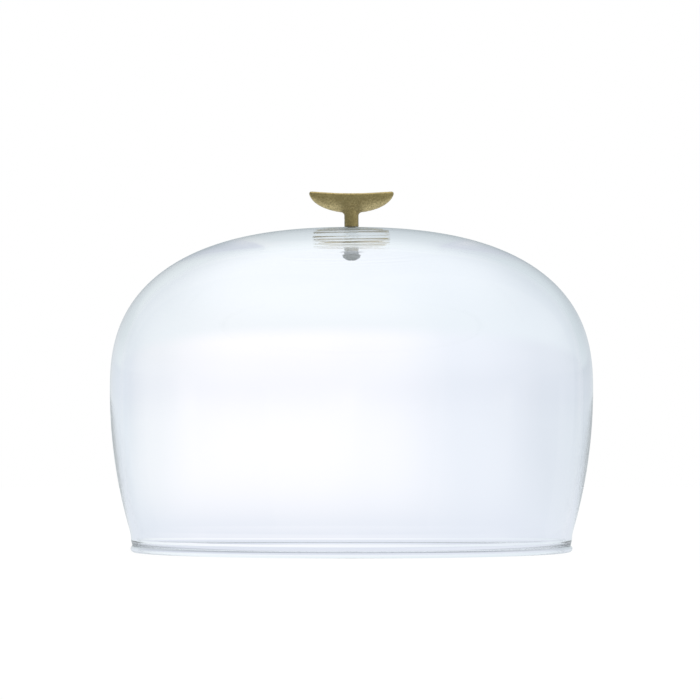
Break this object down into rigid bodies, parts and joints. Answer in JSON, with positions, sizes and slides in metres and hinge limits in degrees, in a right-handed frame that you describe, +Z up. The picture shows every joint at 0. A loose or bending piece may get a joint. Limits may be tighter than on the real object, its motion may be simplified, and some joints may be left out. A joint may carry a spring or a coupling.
{
  "type": "glass cloche",
  "caption": "Clear blown-glass dome cover with a rolled open rim and a cast brass crescent knob held through the crown by a cross-recess screw with silicone seals.",
  "frame": {"origin": "centre of the ground ring under the rim, on the plane the cloche stands on", "axes": "+Z up along the dome's axis, X along the crescent knob's wings, Y across the knob"},
  "size_m": [0.26, 0.26, 0.1942],
  "materials": {
    "clear_glass": "clear, smooth, faint blue-grey at the edges",
    "cast_brass": "sand-cast, matt, lightly aged olive gold",
    "silicone": "milky, satin",
    "zinc_steel": "zinc plated, satin"
  },
  "bodies": {
    "root": {"glass_bell": "clear_glass", "knob": "cast_brass", "upper_gasket": "silicone", "grommet": "silicone", "flat_washer": "zinc_steel", "screw": "zinc_steel"}
  },
  "joints": []
}
